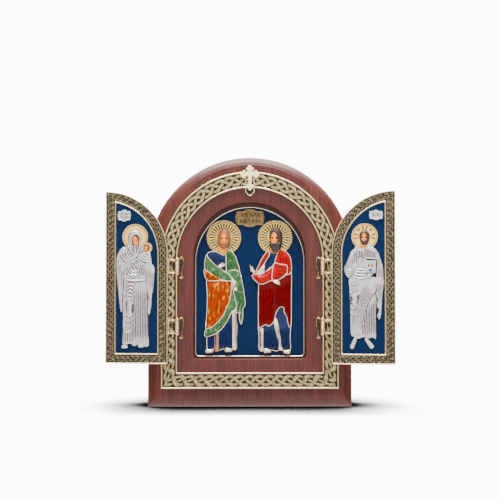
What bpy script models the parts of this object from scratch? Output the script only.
"""Tabletop triptych: an arched wooden board with a niche, a brass knotwork frame,
an enamelled plaque with two saints in relief, and two hinged doors with silver figures.
Metres, +Z up, the front faces -Y. The origin is at the middle of the underside."""

import math

import bmesh
import bpy
from mathutils import Vector

# Gap between pieces that lie on each other, and how far a joined shape passes into the next.
GAP = 0.0003
NUDGE = 0.0001
SMOOTH_ANGLE = math.radians(35)

# Wooden board: an arch with a scooped bevel round its front edge.
BOARD_HALF_WIDTH = 0.090
BOARD_THICKNESS = 0.036
BOARD_ARCH_Z = 0.130
BEVEL_DEPTH = 0.005
BEVEL_WIDTH = 0.007
FOOT_BEVEL_WIDTH = 0.010
SHOULDER = 0.0012
BACK_ROUNDING = 0.0015

# Brass frame with plaited bands, laid on the front of the board.
FRAME_MARGIN = 0.0121
FRAME_BOTTOM_Z = 0.0165
FRAME_ARCH_DROP = 0.0010
FRAME_BAND = 0.0141
FRAME_THICKNESS = 0.0020
FRAME_LIP = 0.0013
FRAME_RECESS = 0.0012
FRAME_PLAIT_PITCH = 0.0093

# Niche that is routed into the board, inside the frame.
NICHE_MARGIN = 0.0142
NICHE_FOOT_MARGIN = 0.0117
NICHE_ARCH_RISE = 0.0016
NICHE_DEPTH = 0.010
NICHE_CORNER = 0.0035

# Enamelled plaque at the back of the niche.
PLAQUE_SIDE_GAP = 0.0010
PLAQUE_FOOT_GAP = 0.0013
PLAQUE_ARCH_DROP = 0.0026
PLAQUE_THICKNESS = 0.0011
PLAQUE_RIM = 0.0009
PLAQUE_RIM_HEIGHT = 0.0005

# Cross at the top of the frame, and the pointed plate that it lies on.
CROSS_RISE = 0.0056
CROSS_HEIGHT = 0.0223
CROSS_SPAN = 0.0176
CROSS_ARM_DROP = 0.0081
CROSS_STEM = 0.0037
CROSS_LOBE = 0.0017
CROSS_THICKNESS = 0.0016
BACKPLATE_HALF_WIDTH = 0.0040
BACKPLATE_DROP = 0.0073

# Doors. Depths are measured from the hinge axis towards the door's decorated side.
HINGE_INSET = 0.0002
DOOR_HINGE_EDGE = 0.0080
DOOR_MEETING_GAP = 0.0006
DOOR_FOOT_MARGIN = 0.0079
DOOR_TOP_CLEARANCE = 0.0008
DOOR_BACK = 0.0006
DOOR_FLOOR = 0.0008
DOOR_THICKNESS = 0.0023
DOOR_BAND = 0.0090
DOOR_LIP = 0.0010
DOOR_RECESS = 0.0011
DOOR_PLAIT_PITCH = 0.0130
DOOR_PANEL_THICKNESS = 0.0005
SHUT_CLEARANCE = 0.0004
LEFT_DOOR_ANGLE = math.radians(-6.5)
RIGHT_DOOR_ANGLE = math.radians(9.4)

# Hinges: a barrel on the frame with a scrolled post beside it, a door strap with two arms, and a pin
# through all three. The post is fixed, so the arms swing clear of it.
HINGE_HEIGHTS = {"upper": 0.1236, "lower": 0.0710}
BARREL_RADIUS = 0.0022
BARREL_LENGTH = 0.0069
ARM_HEIGHT = 0.0031
ARM_THICKNESS = 0.0008
STRAP_OVERLAP = 0.0040
STRAP_START = 0.0010
SCROLL_REACH = 0.0046
SCROLL_RADIUS = 0.0011
SCROLL_RISE = 0.0026
HOOK_DROP = 0.0052
PIN_RADIUS = 0.0008
PIN_CLEARANCE = 0.0002
PIN_HEAD_LIP = 0.0006
PIN_HEAD_HEIGHT = 0.0008
FOOT_HALF_WIDTH = 0.0042
FOOT_THICKNESS = 0.0010
HINGE_SIDES = 8
SCROLL_SIDES = 6

# Figures: each is as large as its field allows. It stands this far above the field's low edge, and its
# halo, and on a door its widest fold, keeps a clearance to the rim round the field.
LEFT_SAINT_STAND = 0.0034
LEFT_HALO_FROM_MIDDLE = 0.0076
LEFT_HALO_CLEARANCE = 0.00095
RIGHT_SAINT_STAND = 0.0029
RIGHT_HALO_FROM_MIDDLE = 0.0071
RIGHT_HALO_CLEARANCE = 0.0013
MOTHER_STAND = 0.0040
TEACHER_STAND = 0.0055
DOOR_HALO_CLEARANCE = 0.0042
DOOR_FIGURE_CLEARANCE = 0.0006
DOOR_FIGURE_SHIFT = 0.0011
SAINT_RELIEF = 0.0046
DOOR_RELIEF = 0.0026
FIGURE_COLUMNS = 8

# Halos: discs behind the heads. Their radii are the figures' own proportions.
HALO_THICKNESS = 0.0007
DOOR_HALO_THICKNESS = 0.0005
HALO_RIM_HEIGHT = 0.0003
SAINT_RAY_HEIGHT = 0.0003
DOOR_RAY_HEIGHT = 0.0001
SAINT_HALO_SIDES = 22
DOOR_HALO_SIDES = 18
CHILD_HALO_SIDES = 10

# Cartouches: small lobed plates, on the plaque and on both doors, there placed from the free edge.
TITLE_WIDTH = 0.0262
TITLE_HEIGHT = 0.0160
TITLE_DROP = 0.0099
TITLE_THICKNESS = 0.0011
LEFT_CARTOUCHE_WIDTH = 0.0118
LEFT_CARTOUCHE_HEIGHT = 0.0100
RIGHT_CARTOUCHE_WIDTH = 0.0121
RIGHT_CARTOUCHE_HEIGHT = 0.0086
DOOR_CARTOUCHE_REACH = 0.0167
DOOR_CARTOUCHE_DROP = 0.0214
DOOR_CARTOUCHE_THICKNESS = 0.0009

# Places that follow from the sizes above.
UNDERSIDE_DEPTH = BOARD_THICKNESS - BEVEL_DEPTH - BACK_ROUNDING
FACE_Y = -UNDERSIDE_DEPTH / 2 - BEVEL_DEPTH
BACK_Y = FACE_Y + BOARD_THICKNESS
FRAME_HALF_WIDTH = BOARD_HALF_WIDTH - FRAME_MARGIN
FRAME_INNER_HALF_WIDTH = FRAME_HALF_WIDTH - FRAME_BAND
FRAME_ARCH_Z = BOARD_ARCH_Z - FRAME_ARCH_DROP
FRAME_TOP_Z = FRAME_ARCH_Z + FRAME_HALF_WIDTH
FRAME_INNER_BOTTOM_Z = FRAME_BOTTOM_Z + FRAME_BAND
FRAME_FRONT_Y = FACE_Y - GAP - FRAME_THICKNESS
NICHE_HALF_WIDTH = FRAME_INNER_HALF_WIDTH - NICHE_MARGIN
NICHE_BOTTOM_Z = FRAME_INNER_BOTTOM_Z + NICHE_FOOT_MARGIN
NICHE_ARCH_Z = FRAME_ARCH_Z + NICHE_ARCH_RISE
PLAQUE_HALF_WIDTH = NICHE_HALF_WIDTH - PLAQUE_SIDE_GAP
PLAQUE_BOTTOM_Z = NICHE_BOTTOM_Z + PLAQUE_FOOT_GAP
PLAQUE_ARCH_Z = NICHE_ARCH_Z - PLAQUE_ARCH_DROP
PLAQUE_FACE_Y = FACE_Y + NICHE_DEPTH - GAP - PLAQUE_THICKNESS
RELIEF_BACK_Y = PLAQUE_FACE_Y - GAP
CROSS_TOP_Z = FRAME_TOP_Z + CROSS_RISE
BACKPLATE_TIP_Z = FRAME_TOP_Z - FRAME_BAND - BACKPLATE_DROP
BACKPLATE_FRONT_Y = FRAME_FRONT_Y - NUDGE
HINGE_X = FRAME_INNER_HALF_WIDTH - HINGE_INSET
PANEL_BACK = DOOR_BACK + DOOR_FLOOR + GAP
DOOR_RELIEF_BACK = PANEL_BACK + DOOR_PANEL_THICKNESS + GAP
# A shut door clears both the wood, with its figure, and the frame, with its rim.
RELIEF_REACH = DOOR_RELIEF_BACK + DOOR_RELIEF + SHUT_CLEARANCE
RIM_REACH = GAP + FRAME_THICKNESS + DOOR_BACK + DOOR_THICKNESS + GAP
AXIS_Y = FACE_Y - max(RELIEF_REACH, RIM_REACH)
DOOR_BOTTOM_Z = FRAME_INNER_BOTTOM_Z + DOOR_FOOT_MARGIN
DOOR_TOP_Z = CROSS_TOP_Z - CROSS_HEIGHT - DOOR_TOP_CLEARANCE
DOOR_FREE_EDGE = HINGE_X - DOOR_MEETING_GAP / 2
DOOR_WIDTH = DOOR_FREE_EDGE - DOOR_HINGE_EDGE
DOOR_ARCH_Z = DOOR_TOP_Z - DOOR_WIDTH
DOOR_MIDDLE = DOOR_HINGE_EDGE + DOOR_WIDTH / 2 + DOOR_FIGURE_SHIFT

for old in list(bpy.data.objects):
    bpy.data.objects.remove(old)

parts = bpy.data.collections.new("triptych_altarpiece")
cutters = bpy.data.collections.new("cutters")
bpy.context.scene.collection.children.link(parts)
bpy.context.scene.collection.children.link(cutters)
cutters.hide_render = True


def material(name, colour, metallic, roughness):
    made = bpy.data.materials.new(name)
    made.use_nodes = True
    shader = made.node_tree.nodes["Principled BSDF"]
    shader.inputs["Base Color"].default_value = (*colour, 1)
    shader.inputs["Metallic"].default_value = metallic
    shader.inputs["Roughness"].default_value = roughness
    return made


WOOD = ("reddish_wood", (0.17, 0.055, 0.035), 0.0, 0.45)
BRASS = ("aged_brass", (0.42, 0.33, 0.17), 1.0, 0.35)
BLUE_ENAMEL = ("blue_enamel", (0.01, 0.035, 0.11), 0.0, 0.15)
GOLD = ("pale_gold", (0.75, 0.58, 0.26), 1.0, 0.3)
SILVER = ("aged_silver", (0.62, 0.61, 0.60), 1.0, 0.38)
AMBER_ENAMEL = ("amber_enamel", (0.55, 0.17, 0.02), 0.3, 0.2)
RED_ENAMEL = ("red_enamel", (0.42, 0.01, 0.015), 0.2, 0.2)


def piece(name, mesh, finish, parent=None, location=(0, 0, 0)):
    """One named object of the model, with its own material."""
    made = bpy.data.objects.new(name, mesh)
    parts.objects.link(made)
    mesh.materials.clear()
    mesh.materials.append(material(name + "_" + finish[0], *finish[1:]))
    made.parent = parent
    made.location = location
    return made


def hidden(name, mesh, parent=None, location=(0, 0, 0)):
    """A helper that a Boolean reads: it is never part of the model itself."""
    made = bpy.data.objects.new(name, mesh)
    cutters.objects.link(made)
    made.hide_render = True
    made.display_type = "WIRE"
    made.parent = parent
    made.location = location
    return made


def combine(target, other, operation):
    modifier = target.modifiers.new(other.name, "BOOLEAN")
    modifier.operation = operation
    modifier.object = other


def finish_mesh(bm, name):
    bmesh.ops.recalc_face_normals(bm, faces=bm.faces)
    mesh = bpy.data.meshes.new(name)
    bm.to_mesh(mesh)
    bm.free()
    mesh.shade_smooth()
    mesh.set_sharp_from_angle(angle=SMOOTH_ANGLE)
    return mesh


def split_quad(bm, a, b, c, d):
    """Two triangles that meet on the diagonal that stands further out to the front."""
    if a.co.y + c.co.y < b.co.y + d.co.y:
        bm.faces.new((a, b, c))
        bm.faces.new((a, c, d))
    else:
        bm.faces.new((a, b, d))
        bm.faces.new((b, c, d))


def loft(rings, name, capped=True, triangles=False):
    """A solid through closed rings of equal length. Uncapped, the last ring joins the first."""
    bm = bmesh.new()
    made = [[bm.verts.new(point) for point in ring] for ring in rings]
    pairs = list(zip(made, made[1:]))
    if not capped:
        pairs.append((made[-1], made[0]))
    for lower, upper in pairs:
        for i in range(len(lower)):
            j = (i + 1) % len(lower)
            quad = (lower[i], lower[j], upper[j], upper[i])
            if triangles:
                split_quad(bm, *quad)
            else:
                bm.faces.new(quad)
    if capped:
        bm.faces.new(made[0])
        bm.faces.new(made[-1])
    return finish_mesh(bm, name)


def spread(start, end, count):
    """Points from start towards end, the end itself left out."""
    return [start + (end - start) * i / count for i in range(count)]


def arc(centre, radius, start, end, count):
    """Points on an arc in the XZ plane, its end left out. Angles in degrees, 0 at +X."""
    found = []
    for i in range(count):
        angle = math.radians(start + (end - start) * i / count)
        found.append(Vector((centre[0] + radius * math.cos(angle), centre[1] + radius * math.sin(angle))))
    return found


def arch_outline(half_width, bottom, arch_z, corner, counts):
    """An upright arch as (x, z) points, anticlockwise from the left end of its foot."""
    across, up, corners, over = counts
    if corners:
        left_foot, right_foot = Vector((-half_width + corner, bottom)), Vector((half_width - corner, bottom))
        right_low, left_low = Vector((half_width, bottom + corner)), Vector((-half_width, bottom + corner))
    else:
        left_foot = left_low = Vector((-half_width, bottom))
        right_foot = right_low = Vector((half_width, bottom))
    points = spread(left_foot, right_foot, across)
    if corners:
        points += arc((half_width - corner, bottom + corner), corner, -90, 0, corners)
    points += spread(right_low, Vector((half_width, arch_z)), up)
    points += arc((0, arch_z), half_width, 0, 180, over)
    points += spread(Vector((-half_width, arch_z)), left_low, up)
    if corners:
        points += arc((-half_width + corner, bottom + corner), corner, 180, 270, corners)
    return points


def at_depth(outline, y):
    return [Vector((x, y, z)) for x, z in outline]


def smooth_step(value):
    value = min(max(value, 0.0), 1.0)
    return value * value * (3 - 2 * value)


# The wooden board with its niche. A bevel step is (share of its width, share of its depth).
BOARD_COUNTS = (1, 1, 0, 32)
NICHE_COUNTS = (1, 1, 3, 26)
BEVEL_STEPS = ((0.35, 0.55), (0.7, 0.24))
CUTTER_REACH = 0.01


def board_ring(inset, foot_inset, y):
    outline = arch_outline(BOARD_HALF_WIDTH - inset, foot_inset, BOARD_ARCH_Z, 0, BOARD_COUNTS)
    return at_depth(outline, y)


def make_board():
    rings = [
        board_ring(BACK_ROUNDING, BACK_ROUNDING, BACK_Y),
        board_ring(0, 0, BACK_Y - BACK_ROUNDING),
        board_ring(0, 0, FACE_Y + BEVEL_DEPTH),
    ]
    for across, back in BEVEL_STEPS:
        y = FACE_Y + BEVEL_DEPTH * back
        rings.append(board_ring(BEVEL_WIDTH * across, FOOT_BEVEL_WIDTH * across, y))
    for sign, y in ((-1, FACE_Y + SHOULDER / 3), (1, FACE_Y)):
        shift = sign * SHOULDER / 2
        rings.append(board_ring(BEVEL_WIDTH + shift, FOOT_BEVEL_WIDTH + shift, y))
    board = piece("wooden_board", loft(rings, "wooden_board"), WOOD)
    niche = arch_outline(NICHE_HALF_WIDTH, NICHE_BOTTOM_Z, NICHE_ARCH_Z, NICHE_CORNER, NICHE_COUNTS)
    depths = (FACE_Y + NICHE_DEPTH, FACE_Y - CUTTER_REACH)
    cutter = loft([at_depth(niche, y) for y in depths], "niche_cutter")
    combine(board, hidden("niche_cutter", cutter), "DIFFERENCE")


# Plaited bands: two strands cross at every second station, with hollows between them.
STRAND_SHARE = 0.24
STRAND_SINK = 0.12


def plait_height(station, column, low, high):
    """Height of the strand columns: -1 and 1 are the sides, 0 is the middle."""
    crossing = station % 2 == 0
    return high if crossing == (column == 0) else low


def band_columns(width, lip):
    """Offsets across a plaited band, from its outer edge to its inner edge."""
    side = (width - 2 * lip) * STRAND_SHARE
    return (0, lip, lip + side, width / 2, width - lip - side, width - lip, width)


def plait_rings(outline_at, width, lip, back, front, recess, depth_y):
    """Rings over a plaited band. back and front are depths towards the viewer from depth_y."""
    offsets = band_columns(width, lip)
    low, high = front - recess, front - recess * STRAND_SINK
    rings = [at_depth(outline_at(0), depth_y - back)]
    for index, offset in enumerate(offsets):
        ring = []
        for station, (x, z) in enumerate(outline_at(offset)):
            height = front
            if 2 <= index <= 4:
                height = plait_height(station, index - 3, low, high)
            ring.append(Vector((x, depth_y - height, z)))
        rings.append(ring)
    return rings


def even(number):
    return max(2, 2 * round(number / 2))


def make_frame():
    centre_line = FRAME_HALF_WIDTH - FRAME_BAND / 2
    straight = FRAME_ARCH_Z - FRAME_BOTTOM_Z - FRAME_BAND / 2
    step = FRAME_PLAIT_PITCH / 2
    counts = (even(2 * centre_line / step), even(straight / step), 0, even(math.pi * centre_line / step))

    def outline_at(offset):
        return arch_outline(FRAME_HALF_WIDTH - offset, FRAME_BOTTOM_Z + offset, FRAME_ARCH_Z, 0, counts)

    rings = plait_rings(
        outline_at, FRAME_BAND, FRAME_LIP, 0, FRAME_THICKNESS, FRAME_RECESS, FACE_Y - GAP
    )
    rings.append(at_depth(outline_at(FRAME_BAND), FACE_Y - GAP))
    frame = piece("knotwork_frame", loft(rings, "knotwork_frame", capped=False, triangles=True), BRASS)
    # The plate under the cross runs down over the band to a point.
    top = FRAME_TOP_Z - FRAME_LIP
    half = BACKPLATE_HALF_WIDTH
    shoulder = BACKPLATE_TIP_Z + half
    plate = [(-half, top), (-half, shoulder), (-half / 2, BACKPLATE_TIP_Z + half / 4), (0, BACKPLATE_TIP_Z)]
    plate += [(half / 2, BACKPLATE_TIP_Z + half / 4), (half, shoulder), (half, top)]
    depths = (FACE_Y - GAP, BACKPLATE_FRONT_Y)
    mesh = loft([at_depth(plate, y) for y in depths], "cross_backplate")
    combine(frame, hidden("cross_backplate", mesh), "UNION")


# The cross: four arms that end in three small lobes.
LOBE_POINTS = 3


def lobe_arc(centre, radius, middle, sweep):
    """Points on a lobe, spread evenly over its sweep about its middle angle, in degrees."""
    found = []
    for i in range(LOBE_POINTS):
        share = (i + 0.5) / LOBE_POINTS - 0.5
        angle = math.radians(middle + sweep * share)
        found.append((centre[0] + radius * math.cos(angle), centre[1] + radius * math.sin(angle)))
    return found


def arm_outline(length, half_stem, lobe):
    """One arm along +Z from the stem's corner, as (x, z) points from its right side to its left."""
    neck = length - 2.6 * lobe
    right = [(half_stem, neck * 0.5), (half_stem * 0.85, neck)]
    lobes = []
    side_x, side_z = lobe * 1.15, length - 1.9 * lobe
    lobes += lobe_arc((side_x, side_z), lobe * 0.85, -5, 150)
    lobes += lobe_arc((0, length - lobe), lobe, 90, 200)
    lobes += lobe_arc((-side_x, side_z), lobe * 0.85, 185, 150)
    left = [(-half_stem * 0.85, neck), (-half_stem, neck * 0.5)]
    return right + lobes + left


def make_cross():
    centre_z = CROSS_TOP_Z - CROSS_ARM_DROP
    half_stem = CROSS_STEM / 2
    # Each arm is (length, quarter turns from upright), taken anticlockwise.
    arms = (
        (CROSS_ARM_DROP, 0),
        (CROSS_SPAN / 2, 1),
        (CROSS_HEIGHT - CROSS_ARM_DROP, 2),
        (CROSS_SPAN / 2, 3),
    )
    outline = []
    for length, turns in arms:
        angle = math.pi / 2 * turns
        for x, z in arm_outline(length, half_stem, CROSS_LOBE):
            outline.append(
                Vector((
                    x * math.cos(angle) - z * math.sin(angle),
                    centre_z + x * math.sin(angle) + z * math.cos(angle),
                ))
            )
    middle = Vector((0, centre_z))
    back = BACKPLATE_FRONT_Y - GAP
    chamfer = CROSS_THICKNESS / 4
    inner = [point + (middle - point).normalized() * chamfer for point in outline]
    rings = [
        at_depth(outline, back),
        at_depth(outline, back - CROSS_THICKNESS + chamfer),
        at_depth(inner, back - CROSS_THICKNESS),
    ]
    piece("cross", loft(rings, "cross"), GOLD)


# The enamelled plaque.
PLAQUE_COUNTS = (1, 1, 3, 24)


def make_plaque():
    def ring(inset, y):
        return at_depth(
            arch_outline(
                PLAQUE_HALF_WIDTH - inset, PLAQUE_BOTTOM_Z + inset, PLAQUE_ARCH_Z,
                NICHE_CORNER - inset, PLAQUE_COUNTS,
            ),
            y,
        )

    rings = [
        ring(0, PLAQUE_FACE_Y + PLAQUE_THICKNESS),
        ring(0, PLAQUE_FACE_Y - PLAQUE_RIM_HEIGHT),
        ring(PLAQUE_RIM, PLAQUE_FACE_Y - PLAQUE_RIM_HEIGHT),
        ring(PLAQUE_RIM, PLAQUE_FACE_Y),
    ]
    piece("niche_plaque", loft(rings, "niche_plaque"), BLUE_ENAMEL)


# Halos: thin discs with a raised rim, rays inside it and a plain middle, as shares of the radius.
HALO_RIM_SHARE = 0.88
HALO_RAY_SHARE = 0.80
HALO_MIDDLE_SHARE = 0.35


def halo_mesh(name, radius, sides, thickness, ray_height):
    def ring(share, heights):
        found = []
        for i in range(sides):
            angle = 2 * math.pi * i / sides
            height = heights[i % len(heights)]
            reach = radius * share
            found.append(Vector((reach * math.cos(angle), -height, reach * math.sin(angle))))
        return found

    rim = thickness + HALO_RIM_HEIGHT
    rings = [
        ring(1, (0,)),
        ring(1, (rim,)),
        ring(HALO_RIM_SHARE, (rim,)),
        ring(HALO_RAY_SHARE, (thickness, thickness + ray_height)),
        ring(HALO_MIDDLE_SHARE, (thickness,)),
    ]
    return loft(rings, name, triangles=True)


# Cartouches: a quarter of the outline, as shares of the half width and the half height.
CARTOUCHE_QUARTER = ((1.0, 0.0), (0.95, 0.42), (0.85, 0.76), (0.50, 0.78), (0.26, 0.95), (0.0, 1.0))
CARTOUCHE_RIM = 0.0009
CARTOUCHE_SINK = 0.0002


def cartouche_outline(width, height):
    """The lobed outline, anticlockwise from its right-hand point."""
    right_up = list(CARTOUCHE_QUARTER)
    left_up = [(-x, z) for x, z in reversed(right_up)]
    left_down = [(-x, -z) for x, z in right_up]
    right_down = [(x, -z) for x, z in reversed(right_up)]
    outline = right_up + left_up[1:] + left_down[1:] + right_down[1:-1]
    return [Vector((x * width / 2, z * height / 2)) for x, z in outline]


def make_cartouche(name, width, height, thickness, finish, place, parent=None):
    """A lobed plate with a raised rim round a flat field."""
    outer = cartouche_outline(width, height)
    inner = cartouche_outline(width - 2 * CARTOUCHE_RIM, height - 2 * CARTOUCHE_RIM)
    rings = [
        at_depth(outer, 0),
        at_depth(outer, -thickness),
        at_depth(inner, -thickness),
        at_depth(inner, -thickness + CARTOUCHE_SINK),
    ]
    piece(name, loft(rings, name), finish, parent, place)


# Figures: rows of (height, left edge, right edge) in millimetres of the real figure. A halo is
# (height, radius), and the child's is (x, height, radius).
# Ridges are limbs and swags: (x, z, x, z, radius, stand-out) with stand-out from 0 to 1.
LEFT_SAINT = {
    "rows": (
        (110.2, -1.6, 1.8), (108.3, -3.8, 4.1), (104.5, -5.5, 5.8), (100, -5.5, 5.8), (96, -4.6, 5.0),
        (93, -4.2, 5.0), (90.3, -8.0, 8.6), (87.6, -14.6, 10.9), (84, -16.2, 11.5), (78, -16.8, 12.4),
        (73, -16.7, 13.6), (68, -16.0, 15.0), (63.7, -14.2, 16.2), (59, -14.5, 17.0), (52, -14.5, 17.7),
        (46.5, -14.5, 18.2), (43.4, -14.5, 18.9), (40, -14.6, 16.6), (33, -14.9, 16.0), (26.1, -15.2, 15.2),
        (24, -15.3, 11.6), (18, -15.3, 11.4), (11, -15.2, 11.4), (4.5, -15.2, 11.3), (3.0, -14.6, 9.8),
    ),
    "ridges": (
        (-12.5, 85, -13.6, 69, 3.6, 0.86), (-13, 69, -4.6, 77.5, 2.8, 0.8), (-14.5, 81, 8, 65.5, 4.2, 1),
        (9.0, 86, 13.0, 70, 3.8, 0.84), (13.0, 69, 8.6, 64, 3.0, 0.95), (9.4, 44, 9.4, 5, 1.9, 0.72),
        (-6.5, 26, -6.2, 4, 2.2, 0.6), (16.5, 60, 15.4, 30, 2.2, 0.7), (5.5, 55, -12, 20, 2.4, 0.8),
    ),
    "head": (0.2, 100.6, 5.6, 9.0),
    "halo": (102.3, 15.4),
    "knobs": ((-15.5, 0.7, 3.1, 3.1), (3.2, 2.6, 3.1, 3.0)),
    "pleats": (60, 3),
}
RIGHT_SAINT = {
    "rows": (
        (112.3, -1.5, 1.9), (110.4, -3.8, 4.3), (106.2, -5.4, 6.1), (101, -5.4, 6.2), (96, -4.7, 5.6),
        (92.4, -5.0, 6.4), (89.4, -8.7, 10.8), (86, -11.2, 13.0), (80, -14.2, 13.4), (75, -16.6, 13.7),
        (71.5, -19.2, 13.9), (68.6, -19.8, 14.1), (65, -17.8, 14.2), (62, -13.4, 14.3), (57, -13.8, 14.3),
        (50, -14.2, 14.3), (42, -14.4, 14.3), (34, -14.6, 14.3), (27, -14.7, 14.3), (22.7, -14.8, 14.0),
        (20, -14.5, 13.3), (14, -14.4, 13.3), (8, -14.3, 13.3), (3.4, -14.2, 13.2), (1.8, -13.4, 12.2),
    ),
    "ridges": (
        (-8.5, 87, -14.0, 74, 3.6, 0.84), (-17.5, 70, 1.5, 67, 4.0, 1.0), (10.0, 87, 11.6, 70, 3.8, 0.86),
        (11.6, 69, 1.0, 63, 3.2, 1.0), (1.6, 74.6, 9.0, 74.6, 5.2, 0.96), (-11.6, 20, -11.4, 3, 2.2, 0.66),
        (-2.0, 26, 2.8, 2, 2.0, 0.66), (7.5, 40, 9.5, 4, 3.2, 0.74), (-6.0, 58, -8.0, 24, 3.0, 0.8),
    ),
    "head": (0.3, 100.8, 5.7, 9.6),
    "halo": (102.8, 15.4),
    "knobs": ((-7.8, 2.1, 3.9, 3.1), (11.9, 0.6, 3.3, 3.3), (-20.3, 73.4, 2.8, 4.0)),
    "pleats": (60, 3),
}
MOTHER = {
    "rows": (
        (103.8, -2.4, 1.4), (101.6, -4.5, 3.7), (98, -5.9, 5.1), (94, -6.8, 5.8), (91, -9.0, 12.0),
        (87.5, -12.5, 13.8), (84, -14.8, 14.0), (79, -16.0, 14.6), (75, -16.6, 16.0), (71, -16.9, 17.6),
        (66, -16.3, 17.5), (60, -15.4, 17.1), (54, -14.7, 16.4), (47, -14.0, 15.4), (40, -13.2, 14.6),
        (34, -12.6, 14.0), (29.5, -11.9, 12.8), (23, -11.1, 12.2), (17, -10.4, 12.2), (10, -10.8, 12.4),
        (5, -11.3, 12.6), (1.8, -10.6, 12.0),
    ),
    "ridges": (
        (-12.5, 83, -12.8, 71, 3.4, 0.85), (-12.5, 70, -1.0, 78, 2.8, 0.95), (3.0, 69, 16.0, 70, 3.4, 1.0),
        (10.5, 80, 6.0, 74, 3.6, 1.0), (15.4, 66, 13.6, 34, 2.4, 0.85), (-14.0, 64, -11.5, 24, 2.4, 0.75),
        (-8.0, 60, 9.0, 60, 2.0, 0.9), (-5.0, 56, -3.0, 12, 2.8, 0.85), (5.0, 58, 6.0, 6, 2.0, 0.75),
    ),
    "head": (-0.6, 96.6, 4.9, 6.6),
    "halo": (97.8, 11.5),
    "child": (10.4, 88.2, 4.9),
    "knobs": ((-10.4, 0.9, 3.0, 2.0), (4.6, 2.6, 2.6, 1.8), (10.4, 88.2, 3.2, 3.6)),
    "pleats": (58, 4),
}
TEACHER = {
    "rows": (
        (100.8, -2.4, 1.6), (98.6, -4.2, 3.4), (94.5, -4.9, 4.0), (90.5, -4.7, 4.0), (87.6, -6.4, 5.6),
        (84.4, -10.3, 9.3), (80, -13.5, 11.4), (75, -15.5, 12.9), (70, -17.5, 15.1), (66.5, -18.1, 16.2),
        (62, -16.3, 16.6), (59, -13.5, 16.6), (53, -13.5, 16.0), (47, -13.2, 15.3), (40, -12.6, 14.6),
        (33, -12.4, 14.2), (27.5, -12.5, 13.6), (24, -12.5, 10.9), (18, -12.4, 9.7), (12, -12.4, 9.7),
        (8, -12.3, 9.7), (5.0, -11.4, 9.0),
    ),
    "ridges": (
        (-10.5, 82, -15.0, 68, 3.4, 0.85), (-14.5, 66, -3.5, 76.5, 3.0, 0.95), (9.0, 82, 14.0, 64, 3.2, 0.85),
        (13.0, 61, 2.0, 59.5, 2.8, 1.0), (1.6, 69.5, 6.6, 69.5, 5.6, 0.95), (-7.0, 52, -4.0, 26, 3.6, 0.9),
        (14.0, 56, 12.6, 30, 2.2, 0.75), (6.0, 48, -8.0, 14, 2.2, 0.85), (4.0, 36, 5.0, 9, 2.0, 0.75),
    ),
    "head": (-0.4, 95.0, 4.2, 6.4),
    "halo": (96.5, 11.5),
    "knobs": ((-10.0, 2.6, 2.6, 4.2), (4.4, 3.4, 3.6, 3.8)),
    "pleats": (52, 4),
}
KNOB_RELIEF = 0.34
KNOB_RINGS = (6, 5)
EDGE_RELIEF = 0.16


def ridge_height(ridge, x, z):
    x0, z0, x1, z1, radius, stand_out = ridge
    along = Vector((x1 - x0, z1 - z0))
    share = max(0.0, min(1.0, Vector((x - x0, z - z0)).dot(along) / along.length_squared))
    distance = (Vector((x, z)) - Vector((x0, z0)) - along * share).length
    return stand_out * math.sqrt(max(0.0, 1 - (distance / (1.6 * radius)) ** 2))


def relief_height(figure, column, x, z, across):
    """How far the figure stands out at a point, from 0 to 1."""
    height = 0.30 + 0.42 * math.sqrt(max(0.0, 1 - across**2))
    waist, pleat_step = figure["pleats"]
    if z < waist:
        height += 0.07 * math.cos(2 * math.pi * column / pleat_step) * smooth_step((waist - z) / 10)
    for ridge in figure["ridges"]:
        height = max(height, ridge_height(ridge, x, z))
    cx, cz, rx, rz = figure["head"]
    out = 1 - ((x - cx) / (rx * 1.25)) ** 2 - ((z - cz) / (rz * 1.25)) ** 2
    if out > 0:
        height = max(height, 0.25 + 0.75 * math.sqrt(out))
    return height


def scale_to_arc(figure, foot, aside, spreading, reach):
    """The scale at which the figure's halo meets an arc of radius reach about the origin. foot is the
    height of the soles. The halo's middle is aside from the centre line, plus spreading of its radius."""
    rise, radius = figure["halo"]
    swing = spreading * radius
    squares = rise**2 + swing**2 - radius**2
    halves = foot * rise + aside * swing + reach * radius
    rest = foot**2 + aside**2 - reach**2
    return (math.sqrt(halves**2 - squares * rest) - halves) / squares


def door_figure_scale(figure, base_z, side):
    """The smaller of the scales that the door's arch and the width of its panel allow."""
    reach = DOOR_WIDTH - DOOR_BAND - DOOR_HALO_CLEARANCE
    tall = scale_to_arc(figure, base_z - DOOR_ARCH_Z, DOOR_FREE_EDGE - DOOR_MIDDLE, 0, reach)
    edges = [side * edge for row in figure["rows"] for edge in row[1:]]
    to_free = DOOR_FREE_EDGE - DOOR_BAND - DOOR_FIGURE_CLEARANCE - DOOR_MIDDLE
    to_hinge = DOOR_MIDDLE - DOOR_HINGE_EDGE - DOOR_BAND - DOOR_FIGURE_CLEARANCE
    return min(tall, to_free / max(edges), to_hinge / -min(edges))


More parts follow.
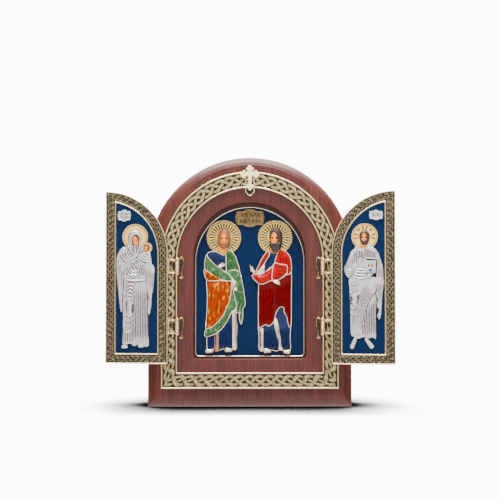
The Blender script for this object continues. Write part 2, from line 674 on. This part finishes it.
def make_figure(name, figure, scale, relief, halo_low, stand_off, finish, place, parent=None):
    """One relief figure: a closed loft over its rows, with feet and hands joined on.
    Above the low edge of its halo, halo_low, its back stands off to leave room for the disc."""
    rows = figure["rows"]
    bm = bmesh.new()
    fronts, backs = [], []
    row_above = rows[0][0]
    for z, left, right in rows:
        step = stand_off if row_above * scale > halo_low else 0.0
        row_above = z
        front = []
        for column in range(FIGURE_COLUMNS + 1):
            across = 2 * column / FIGURE_COLUMNS - 1
            x = left + (right - left) * column / FIGURE_COLUMNS
            height = relief * relief_height(figure, column, x, z, abs(across))
            height = max(height, step + relief * EDGE_RELIEF)
            front.append(bm.verts.new((x * scale, -height, z * scale)))
        fronts.append(front)
        backs.append([bm.verts.new((x * scale, -step, z * scale)) for x in (left, right)])
    for upper, lower, back_upper, back_lower in zip(fronts, fronts[1:], backs, backs[1:]):
        for i in range(FIGURE_COLUMNS):
            split_quad(bm, upper[i], upper[i + 1], lower[i + 1], lower[i])
        bm.faces.new((back_upper[0], back_upper[1], back_lower[1], back_lower[0]))
        bm.faces.new((upper[0], lower[0], back_lower[0], back_upper[0]))
        bm.faces.new((upper[-1], back_upper[1], back_lower[1], lower[-1]))
    bm.faces.new(fronts[0] + backs[0][::-1])
    bm.faces.new(fronts[-1] + backs[-1][::-1])
    made = piece(name, finish_mesh(bm, name), finish, parent, place)
    for index, (x, z, rx, rz) in enumerate(figure["knobs"]):
        ball = bmesh.new()
        segments, levels = KNOB_RINGS
        bmesh.ops.create_uvsphere(ball, u_segments=segments, v_segments=levels, radius=1)
        size = (rx * scale, relief * KNOB_RELIEF, rz * scale)
        bmesh.ops.scale(ball, vec=size, verts=ball.verts)
        mesh = finish_mesh(ball, name + "_knob")
        lift = stand_off if z * scale > halo_low else 0.0
        offset = Vector((x * scale, -size[1] - NUDGE / 5 - lift, z * scale))
        joined = hidden(f"{name}_knob_{index}", mesh, parent, Vector(place) + offset)
        combine(made, joined, "UNION")
    return made


# Doors. Each turns about an empty on its hinge axis. side is -1 for the left one, 1 for the right.
def door_outline(offset, side, counts):
    """A door's outline, offset inwards, from the low corner by the hinge round to itself."""
    foot, free, over, hinge = counts
    near, far = DOOR_HINGE_EDGE + offset, DOOR_FREE_EDGE - offset
    bottom = DOOR_BOTTOM_Z + offset
    radius = DOOR_WIDTH - offset
    corner_z = DOOR_ARCH_Z + math.sqrt(radius**2 - offset**2)
    corner_angle = math.degrees(math.atan2(corner_z - DOOR_ARCH_Z, -offset))
    points = spread(Vector((near, bottom)), Vector((far, bottom)), foot)
    points += spread(Vector((far, bottom)), Vector((far, corner_z)), free)
    points += arc((DOOR_FREE_EDGE, DOOR_ARCH_Z), radius, corner_angle, 180, over)
    points += spread(Vector((near, DOOR_ARCH_Z)), Vector((near, bottom)), hinge)
    return [Vector((side * u, z)) for u, z in points]


def make_door(side_name, side, angle):
    axis = bpy.data.objects.new(side_name + "_door_axis", None)
    parts.objects.link(axis)
    axis.location = (side * HINGE_X, AXIS_Y, 0)
    axis.rotation_euler = (0, 0, -side * angle)
    step = DOOR_PLAIT_PITCH / 2
    counts = (
        even(DOOR_WIDTH / step),
        even((DOOR_TOP_Z - DOOR_BOTTOM_Z) / step),
        even(math.pi / 2 * DOOR_WIDTH / step),
        even((DOOR_ARCH_Z - DOOR_BOTTOM_Z) / step),
    )

    def outline_at(offset):
        return door_outline(offset, side, counts)

    front = DOOR_BACK + DOOR_THICKNESS
    rings = plait_rings(outline_at, DOOR_BAND, DOOR_LIP, DOOR_BACK, front, DOOR_RECESS, 0)
    rings.append(at_depth(outline_at(DOOR_BAND), -DOOR_BACK - DOOR_FLOOR))
    name = side_name + "_door"
    piece(name, loft(rings, name, triangles=True), BRASS, axis)

    panel = door_outline(DOOR_BAND + GAP, side, (1, 1, 16, 1))
    depths = (-PANEL_BACK, -PANEL_BACK - DOOR_PANEL_THICKNESS)
    name = side_name + "_door_panel"
    piece(name, loft([at_depth(panel, y) for y in depths], name), BLUE_ENAMEL, axis)
    return axis


def make_left_door():
    axis = make_door("left", -1, LEFT_DOOR_ANGLE)
    base = Vector((-DOOR_MIDDLE, -DOOR_RELIEF_BACK, DOOR_BOTTOM_Z + DOOR_BAND + MOTHER_STAND))
    scale = door_figure_scale(MOTHER, base.z, -1)
    halo_z, radius = (scale * value for value in MOTHER["halo"])
    child_x, child_z, child_radius = (scale * value for value in MOTHER["child"])
    make_figure(
        "left_door_figure", MOTHER, scale, DOOR_RELIEF, child_z - child_radius,
        DOOR_HALO_THICKNESS + 2 * HALO_RIM_HEIGHT + GAP, SILVER, base, axis,
    )
    mother_halo = piece(
        "left_door_halo",
        halo_mesh("left_door_halo", radius, DOOR_HALO_SIDES, DOOR_HALO_THICKNESS, DOOR_RAY_HEIGHT),
        GOLD, axis, base + Vector((0, 0, halo_z)),
    )
    child_thickness = DOOR_HALO_THICKNESS + HALO_RIM_HEIGHT
    child = halo_mesh("child_halo", child_radius, CHILD_HALO_SIDES, child_thickness, 0)
    place = base + Vector((child_x, 0, child_z))
    combine(mother_halo, hidden("child_halo", child, axis, place), "UNION")
    place = (DOOR_CARTOUCHE_REACH - DOOR_FREE_EDGE, base.y, DOOR_TOP_Z - DOOR_CARTOUCHE_DROP)
    make_cartouche(
        "left_door_cartouche", LEFT_CARTOUCHE_WIDTH, LEFT_CARTOUCHE_HEIGHT,
        DOOR_CARTOUCHE_THICKNESS, SILVER, place, axis,
    )
    return axis


def make_right_door():
    axis = make_door("right", 1, RIGHT_DOOR_ANGLE)
    base = Vector((DOOR_MIDDLE, -DOOR_RELIEF_BACK, DOOR_BOTTOM_Z + DOOR_BAND + TEACHER_STAND))
    scale = door_figure_scale(TEACHER, base.z, 1)
    halo_z, radius = (scale * value for value in TEACHER["halo"])
    make_figure(
        "right_door_figure", TEACHER, scale, DOOR_RELIEF, halo_z - radius,
        DOOR_HALO_THICKNESS + HALO_RIM_HEIGHT + GAP, SILVER, base, axis,
    )
    piece(
        "right_door_halo",
        halo_mesh("right_door_halo", radius, DOOR_HALO_SIDES, DOOR_HALO_THICKNESS, DOOR_RAY_HEIGHT),
        GOLD, axis, base + Vector((0, 0, halo_z)),
    )
    place = (DOOR_FREE_EDGE - DOOR_CARTOUCHE_REACH, base.y, DOOR_TOP_Z - DOOR_CARTOUCHE_DROP)
    make_cartouche(
        "right_door_cartouche", RIGHT_CARTOUCHE_WIDTH, RIGHT_CARTOUCHE_HEIGHT,
        DOOR_CARTOUCHE_THICKNESS, SILVER, place, axis,
    )
    return axis


# Hinges.
ARM_BAR_SHARE = 0.42
NECK_SHARE = 0.6


def cylinder(radius, length, place, sides=HINGE_SIDES):
    """An upright cylinder as a mesh, with its middle at place."""
    bm = bmesh.new()
    bmesh.ops.create_cone(
        bm, cap_ends=True, segments=sides, radius1=radius, radius2=radius, depth=length
    )
    bmesh.ops.translate(bm, vec=place, verts=bm.verts)
    return finish_mesh(bm, "cylinder")


def box(low, high):
    bm = bmesh.new()
    bmesh.ops.create_cube(bm, size=1)
    low, high = Vector(low), Vector(high)
    bmesh.ops.scale(bm, vec=high - low, verts=bm.verts)
    bmesh.ops.translate(bm, vec=(low + high) / 2, verts=bm.verts)
    return finish_mesh(bm, "box")


def make_hinge(side_name, side, level, axis):
    """Fixed barrel on the frame, strap with two arms on the door, and the pin between them."""
    middle = HINGE_HEIGHTS[level]
    name = f"{side_name}_{level}_hinge"
    at_axis = (side * HINGE_X, AXIS_Y, middle)
    half = BARREL_LENGTH / 2
    bore = cylinder(PIN_RADIUS + PIN_CLEARANCE, BARREL_LENGTH + 4 * ARM_HEIGHT, (0, 0, 0))

    tube = cylinder(BARREL_RADIUS, BARREL_LENGTH, (0, 0, 0))
    barrel = piece(name + "_barrel", tube, BRASS, None, at_axis)
    back = FRAME_FRONT_Y - GAP - AXIS_Y
    foot = box((-FOOT_HALF_WIDTH, back - FOOT_THICKNESS, -half), (FOOT_HALF_WIDTH, back, half))
    combine(barrel, hidden(name + "_foot", foot, None, at_axis), "UNION")
    neck_half = BARREL_RADIUS * NECK_SHARE
    neck = box((-neck_half, 0, -half + NUDGE), (neck_half, back - NUDGE, half - NUDGE))
    combine(barrel, hidden(name + "_neck", neck, None, at_axis), "UNION")
    level_z = half + GAP + ARM_HEIGHT / 2
    post_low, post_high = -level_z - HOOK_DROP, level_z + SCROLL_RISE
    post_middle = (-side * SCROLL_REACH, back - SCROLL_RADIUS, (post_low + post_high) / 2)
    post = cylinder(SCROLL_RADIUS, post_high - post_low, post_middle, SCROLL_SIDES)
    combine(barrel, hidden(name + "_scrolled_post", post, None, at_axis), "UNION")
    combine(barrel, hidden(name + "_barrel_bore", bore, None, at_axis), "DIFFERENCE")

    # The strap lies behind the open door; its arms hold the pin above and below the barrel.
    back = -DOOR_BACK + GAP
    reach = half + GAP + ARM_HEIGHT
    ends = sorted((side * (DOOR_HINGE_EDGE - STRAP_START), side * (DOOR_HINGE_EDGE + STRAP_OVERLAP)))
    strap_low, strap_high = (ends[0], back, -reach), (ends[1], back + ARM_THICKNESS, reach)
    strap = box(strap_low, strap_high)
    arms = piece(name + "_strap", strap, BRASS, axis, (0, 0, middle))
    for end, sign in (("upper", 1), ("lower", -1)):
        ring = cylinder(BARREL_RADIUS, ARM_HEIGHT, (0, 0, sign * level_z))
        combine(arms, hidden(f"{name}_{end}_ring", ring, axis, (0, 0, middle)), "UNION")
        xs = sorted((side * (DOOR_HINGE_EDGE + STRAP_START), 0))
        half_bar = ARM_HEIGHT * ARM_BAR_SHARE
        zs = (sign * level_z - half_bar, sign * level_z + half_bar)
        bar = box((xs[0], back + NUDGE, zs[0]), (xs[1], back + ARM_THICKNESS - NUDGE, zs[1]))
        combine(arms, hidden(f"{name}_{end}_bar", bar, axis, (0, 0, middle)), "UNION")
    combine(arms, hidden(name + "_strap_bore", bore, axis, (0, 0, middle)), "DIFFERENCE")

    head_z = reach + GAP + PIN_HEAD_HEIGHT / 2
    pin = piece(name + "_pin", cylinder(PIN_RADIUS, 2 * head_z, (0, 0, 0)), BRASS, None, at_axis)
    for end, sign in (("upper", 1), ("lower", -1)):
        head = cylinder(PIN_RADIUS + PIN_HEAD_LIP, PIN_HEAD_HEIGHT, (0, 0, sign * head_z))
        combine(pin, hidden(f"{name}_pin_{end}_head", head, None, at_axis), "UNION")


def make_saint(name, figure, side, from_middle, clearance, stand, finish):
    """A saint and its halo, which keeps its distances to the plaque's rim and to the middle."""
    base = PLAQUE_BOTTOM_Z + stand
    reach = PLAQUE_HALF_WIDTH - PLAQUE_RIM - clearance
    scale = scale_to_arc(figure, base - PLAQUE_ARCH_Z, from_middle, 1, reach)
    halo_z, radius = (scale * value for value in figure["halo"])
    x = side * (from_middle + radius)
    make_figure(
        name, figure, scale, SAINT_RELIEF, halo_z - radius,
        HALO_THICKNESS + HALO_RIM_HEIGHT + GAP, finish, (x, RELIEF_BACK_Y, base),
    )
    name = name + "_halo"
    disc = halo_mesh(name, radius, SAINT_HALO_SIDES, HALO_THICKNESS, SAINT_RAY_HEIGHT)
    piece(name, disc, GOLD, None, (x, RELIEF_BACK_Y, base + halo_z))


def make_niche_figures():
    make_saint(
        "left_saint", LEFT_SAINT, -1, LEFT_HALO_FROM_MIDDLE, LEFT_HALO_CLEARANCE,
        LEFT_SAINT_STAND, AMBER_ENAMEL,
    )
    make_saint(
        "right_saint", RIGHT_SAINT, 1, RIGHT_HALO_FROM_MIDDLE, RIGHT_HALO_CLEARANCE,
        RIGHT_SAINT_STAND, RED_ENAMEL,
    )
    place = (0, RELIEF_BACK_Y, PLAQUE_ARCH_Z + PLAQUE_HALF_WIDTH - TITLE_DROP)
    make_cartouche("title_cartouche", TITLE_WIDTH, TITLE_HEIGHT, TITLE_THICKNESS, BRASS, place)


make_board()
make_frame()
make_cross()
make_plaque()
make_niche_figures()
for side_name, side, door_axis in (("left", -1, make_left_door()), ("right", 1, make_right_door())):
    for level in HINGE_HEIGHTS:
        make_hinge(side_name, side, level, door_axis)
